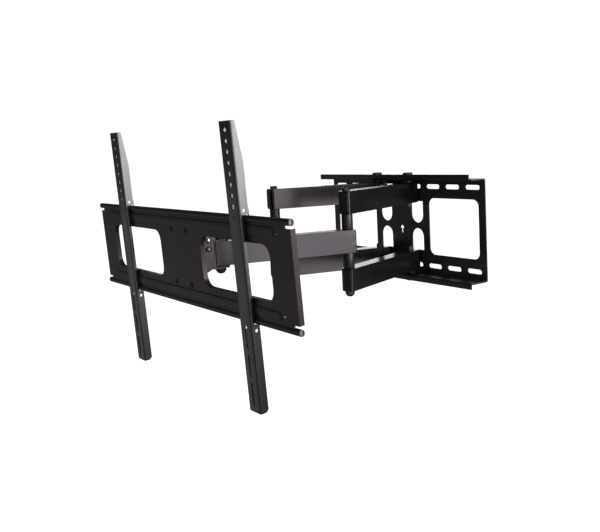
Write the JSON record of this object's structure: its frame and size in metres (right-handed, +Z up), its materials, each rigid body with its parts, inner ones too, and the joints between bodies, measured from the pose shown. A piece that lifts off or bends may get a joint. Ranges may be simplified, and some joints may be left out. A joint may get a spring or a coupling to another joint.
{
  "type": "full motion television wall mount",
  "caption": "Full motion television wall mount: a wall plate, a pair of folding double arms, a tilting head and a wide plate with upright brackets that hook on its rails.",
  "frame": {"origin": "centre of the wall plate's rear face, which lies on the wall", "axes": "+X to the right for someone facing the wall, +Y into the wall, +Z up; the television hangs towards -Y"},
  "size_m": [0.6554, 0.5226, 0.4251],
  "materials": {
    "plate_paint": "fine black powder coat",
    "arm_paint": "smooth black powder coat",
    "bracket_paint": "black powder coat",
    "black_plastic": "moulded",
    "black_steel": "black oxide",
    "bright_steel": "zinc plated"
  },
  "bodies": {
    "wall": {"wall_plate": "plate_paint", "shoulder_bolt_upper_right": "black_steel", "shoulder_bolt_lower_right": "black_steel", "shoulder_bolt_upper_left": "black_steel", "shoulder_bolt_lower_left": "black_steel", "shoulder_washer_upper_right": "black_plastic", "shoulder_washer_lower_right": "black_plastic", "shoulder_washer_upper_left": "black_plastic", "shoulder_washer_lower_left": "black_plastic", "shoulder_nut_upper_right": "black_steel", "shoulder_nut_lower_right": "black_steel", "shoulder_nut_upper_left": "black_steel", "shoulder_nut_lower_left": "black_steel"},
    "rear_arm_right": {"rear_link_upper_right": "arm_paint", "rear_link_lower_right": "arm_paint", "rear_link_plug_upper_right": "black_plastic", "rear_link_plug_lower_right": "black_plastic", "elbow_spacer_upper_right": "black_steel", "elbow_spacer_lower_right": "black_steel", "elbow_bolt_right": "black_steel", "elbow_nut_right": "black_steel"},
    "front_arm_right": {"front_link_right": "arm_paint", "front_link_plug_right": "black_plastic"},
    "rear_arm_left": {"rear_link_upper_left": "arm_paint", "rear_link_lower_left": "arm_paint", "rear_link_plug_upper_left": "black_plastic", "rear_link_plug_lower_left": "black_plastic", "elbow_spacer_upper_left": "black_steel", "elbow_spacer_lower_left": "black_steel", "elbow_bolt_left": "black_steel", "elbow_nut_left": "black_steel"},
    "front_arm_left": {"front_link_left": "arm_paint", "front_link_plug_left": "black_plastic"},
    "head": {"yoke": "plate_paint", "head_bolt_right": "black_steel", "head_bolt_left": "black_steel", "head_nut_right": "black_steel", "head_nut_left": "black_steel", "tilt_bolt_right": "bright_steel", "tilt_bolt_left": "bright_steel", "tilt_lock_bolt_right": "bright_steel", "tilt_lock_bolt_left": "bright_steel"},
    "tilt_bracket": {"tilt_bracket": "plate_paint"},
    "tv_plate": {"tv_plate": "plate_paint", "rail_cap_upper_right": "black_plastic", "rail_cap_lower_right": "black_plastic", "rail_cap_upper_left": "black_plastic", "rail_cap_lower_left": "black_plastic", "level_screw_upper_right": "black_steel", "level_screw_lower_right": "black_steel", "level_screw_upper_left": "black_steel", "level_screw_lower_left": "black_steel", "level_nut_upper_right": "black_steel", "level_nut_lower_right": "black_steel", "level_nut_upper_left": "black_steel", "level_nut_lower_left": "black_steel"},
    "tv_bracket_right": {"tv_bracket_right": "bracket_paint"},
    "tv_bracket_left": {"tv_bracket_left": "bracket_paint"}
  },
  "joints": [
    {"name": "shoulder_right_swing", "type": "hinge", "parent": "wall", "child": "rear_arm_right", "pos_m": [0.046, -0.0255, 0], "axis": [0, 0, 1], "range_deg": [-12.5, 66.4]},
    {"name": "elbow_right_fold", "type": "hinge", "parent": "rear_arm_right", "child": "front_arm_right", "pos_m": [0.11393, -0.24, 0], "axis": [0, 0, 1], "range_deg": [-133, 25.2]},
    {"name": "head_turn", "type": "hinge", "parent": "front_arm_right", "child": "head", "pos_m": [0.046, -0.4545, 0], "axis": [0, 0, 1], "range_deg": [-12.6, 66.5]},
    {"name": "shoulder_left_swing", "type": "hinge", "parent": "wall", "child": "rear_arm_left", "pos_m": [-0.046, -0.0255, 0], "axis": [0, 0, 1], "range_deg": [-66.5, 12.6]},
    {"name": "elbow_left_fold", "type": "hinge", "parent": "rear_arm_left", "child": "front_arm_left", "pos_m": [-0.11393, -0.24, 0], "axis": [0, 0, 1], "range_deg": [-25.2, 133]},
    {"name": "screen_tilt", "type": "hinge", "parent": "head", "child": "tilt_bracket", "pos_m": [0, -0.4855, 0.026], "axis": [1, 0, 0], "range_deg": [-8.4, 8.5]},
    {"name": "screen_level", "type": "hinge", "parent": "tilt_bracket", "child": "tv_plate", "pos_m": [0, -0.50167, -0.00503], "axis": [0, -0.9982, -0.06], "range_deg": [-3, 3]},
    {"name": "tv_bracket_right_slide", "type": "slide", "parent": "tv_plate", "child": "tv_bracket_right", "axis": [1, 0, 0], "range_m": [-0.1, 0.1]},
    {"name": "tv_bracket_left_slide", "type": "slide", "parent": "tv_plate", "child": "tv_bracket_left", "axis": [1, 0, 0], "range_m": [-0.1, 0.1]}
  ],
  "couplings": [
    {"joint": "elbow_right_fold", "follows": "shoulder_right_swing", "ratio": -2},
    {"joint": "head_turn", "follows": "shoulder_right_swing", "ratio": 1},
    {"joint": "shoulder_left_swing", "follows": "shoulder_right_swing", "ratio": -1},
    {"joint": "elbow_left_fold", "follows": "shoulder_right_swing", "ratio": 2}
  ]
}
